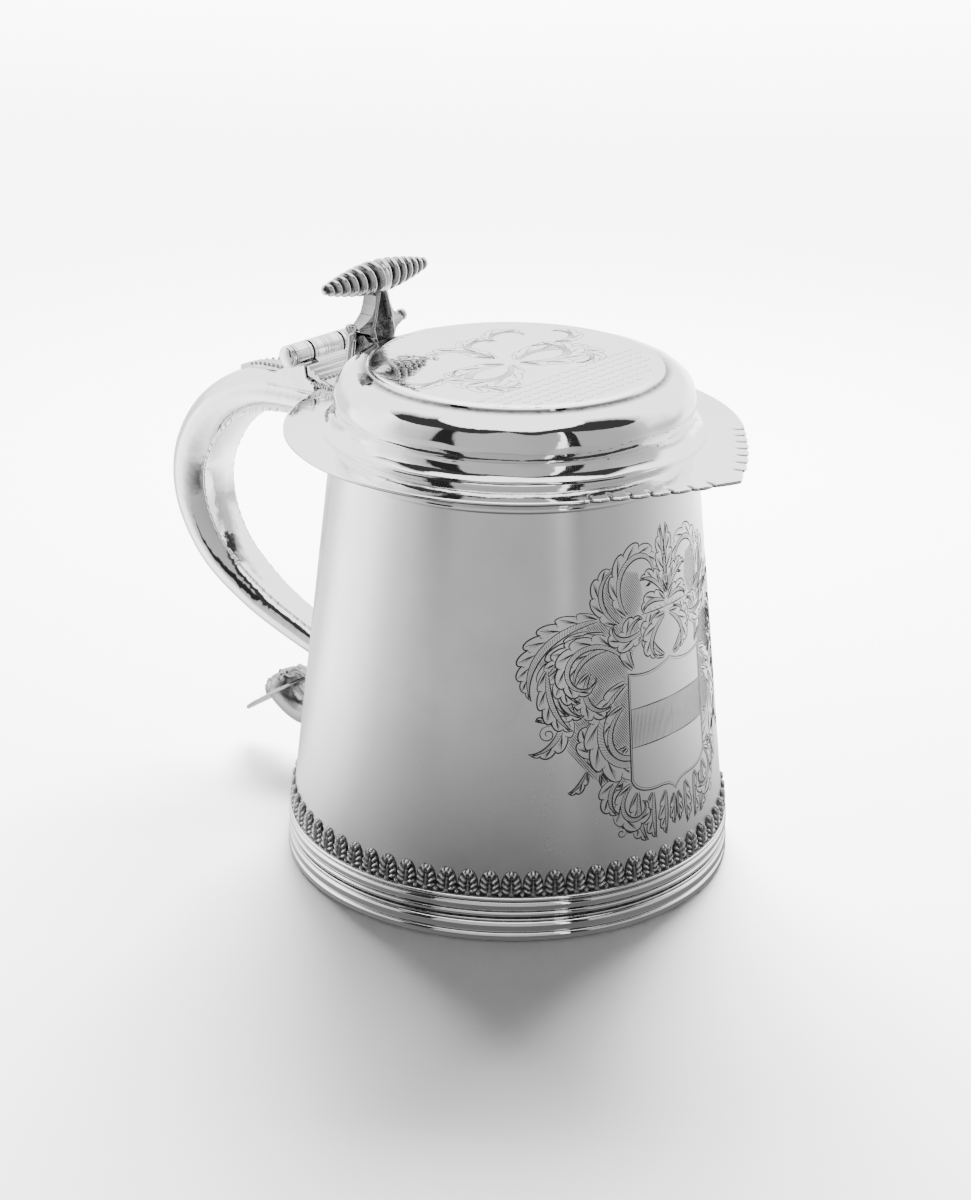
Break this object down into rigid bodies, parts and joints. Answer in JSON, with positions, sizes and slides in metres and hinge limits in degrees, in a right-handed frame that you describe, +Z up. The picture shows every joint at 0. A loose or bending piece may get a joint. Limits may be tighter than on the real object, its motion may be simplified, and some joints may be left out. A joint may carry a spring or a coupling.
{
  "type": "lidded tankard",
  "caption": "Tapering drinking tankard with a hinged flat cover, crenate lip, corkscrew thumbpiece, leaf-banded foot and hollow scroll handle.",
  "frame": {"origin": "centre of the underside of the bottom, on the axis of the barrel", "axes": "+Z up, +X from the axis towards the lip at the front of the lid, the handle towards -X, the hinge pin along Y"},
  "size_m": [0.2247, 0.14, 0.18],
  "materials": {
    "polished_silver": "hammered and polished, with fine rubbing scratches",
    "cast_silver": "cast and chased, polished on the high places and dark in the hollows",
    "inside_silver": "satin, left duller on the inside"
  },
  "bodies": {
    "barrel": {"barrel_wall": "polished_silver", "barrel_bottom": "inside_silver", "foot_moulding": "polished_silver", "foot_wire": "polished_silver", "leaf_band": "cast_silver", "lip_moulding": "polished_silver", "handle_shell": "polished_silver", "handle_strap": "polished_silver", "handle_drop": "cast_silver", "handle_tail": "polished_silver", "terminal_shield": "polished_silver", "terminal_mask": "cast_silver", "hinge_seat": "polished_silver", "hinge_knuckle_left": "polished_silver", "hinge_knuckle_right": "polished_silver", "hinge_cap_left": "polished_silver", "hinge_cap_right": "polished_silver", "hinge_pin": "inside_silver"},
    "lid": {"lid_flange": "polished_silver", "lid_cover": "polished_silver", "lid_bezel": "inside_silver", "lid_hinge_plate": "cast_silver", "lid_knuckle": "polished_silver", "corkscrew_left": "cast_silver", "corkscrew_right": "cast_silver", "bracket_front": "cast_silver", "bracket_back": "cast_silver", "volute_left": "cast_silver", "volute_right": "cast_silver"}
  },
  "joints": [
    {"name": "lid_hinge", "type": "hinge", "parent": "barrel", "child": "lid", "pos_m": [-0.0805, 0, 0.1473], "axis": [0, -1, 0], "range_deg": [0, 105]}
  ]
}
